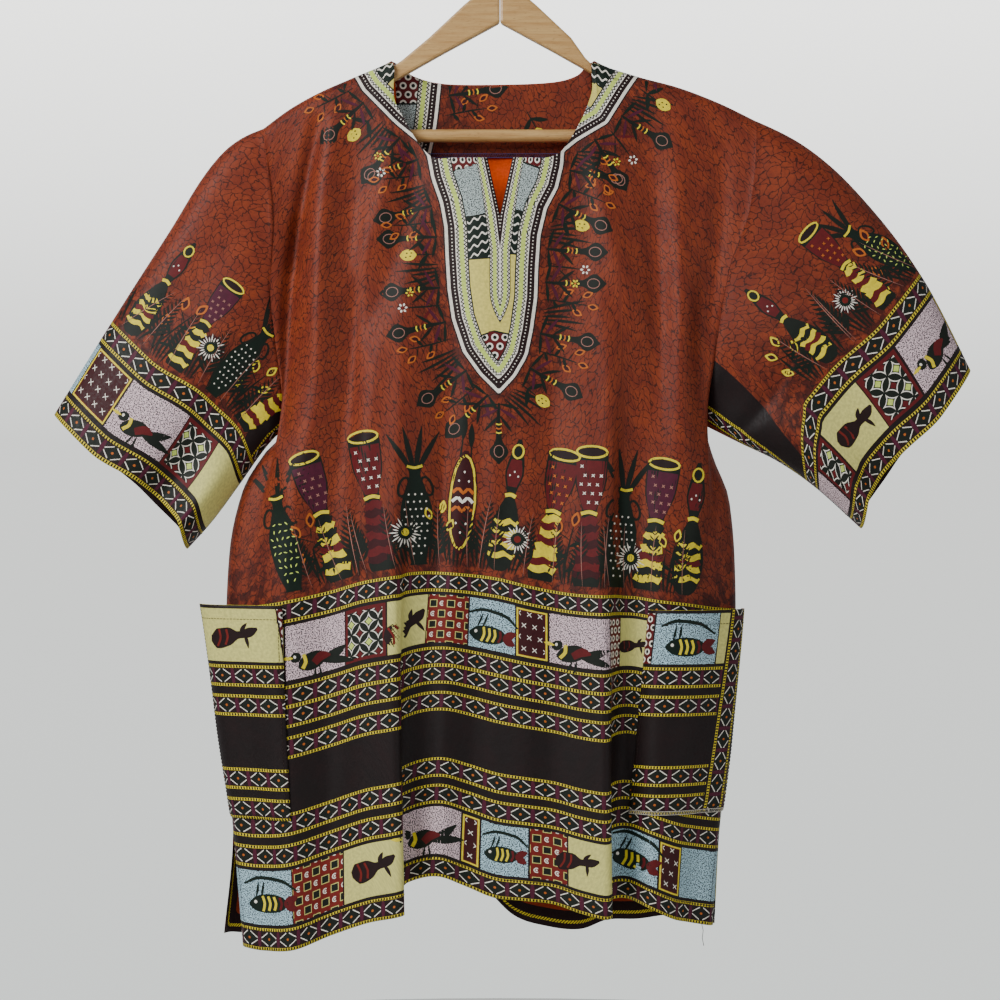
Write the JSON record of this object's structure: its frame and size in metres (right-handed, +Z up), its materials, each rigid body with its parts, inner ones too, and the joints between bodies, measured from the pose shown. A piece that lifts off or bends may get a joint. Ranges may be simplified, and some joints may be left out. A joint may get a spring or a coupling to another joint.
{
  "type": "dashiki shirt on a wooden hanger",
  "caption": "Wide short-sleeved printed cotton pullover shirt with a slit neck and patch pockets, hanging open and lightly folded on a plain wooden hanger.",
  "frame": {"origin": "inner crown of the hanger's hook, where a rail carries the part", "axes": "+Z up, the shirt's front faces -Y, +X to the right of someone facing the front"},
  "size_m": [0.849, 0.113, 0.9724],
  "materials": {
    "cloth_front": "printed cotton, soft sheen",
    "cloth_back": "printed cotton, soft sheen",
    "cloth_sleeve_left": "printed cotton, soft sheen",
    "cloth_sleeve_right": "printed cotton, soft sheen",
    "cloth_pocket_left": "printed cotton, soft sheen",
    "cloth_pocket_right": "printed cotton, soft sheen",
    "cloth_facing": "printed cotton, soft sheen",
    "wood_arm_left": "clear satin lacquer",
    "wood_arm_right": "clear satin lacquer",
    "wood_bar": "clear satin lacquer",
    "steel_hook": "bright plated wire"
  },
  "bodies": {
    "root": {"front": "cloth_front", "back": "cloth_back", "sleeve_left": "cloth_sleeve_left", "sleeve_right": "cloth_sleeve_right", "pocket_left": "cloth_pocket_left", "pocket_right": "cloth_pocket_right", "neck_facing": "cloth_facing", "hanger_arm_left": "wood_arm_left", "hanger_arm_right": "wood_arm_right", "hanger_bar": "wood_bar", "hanger_hook": "steel_hook"}
  },
  "joints": []
}
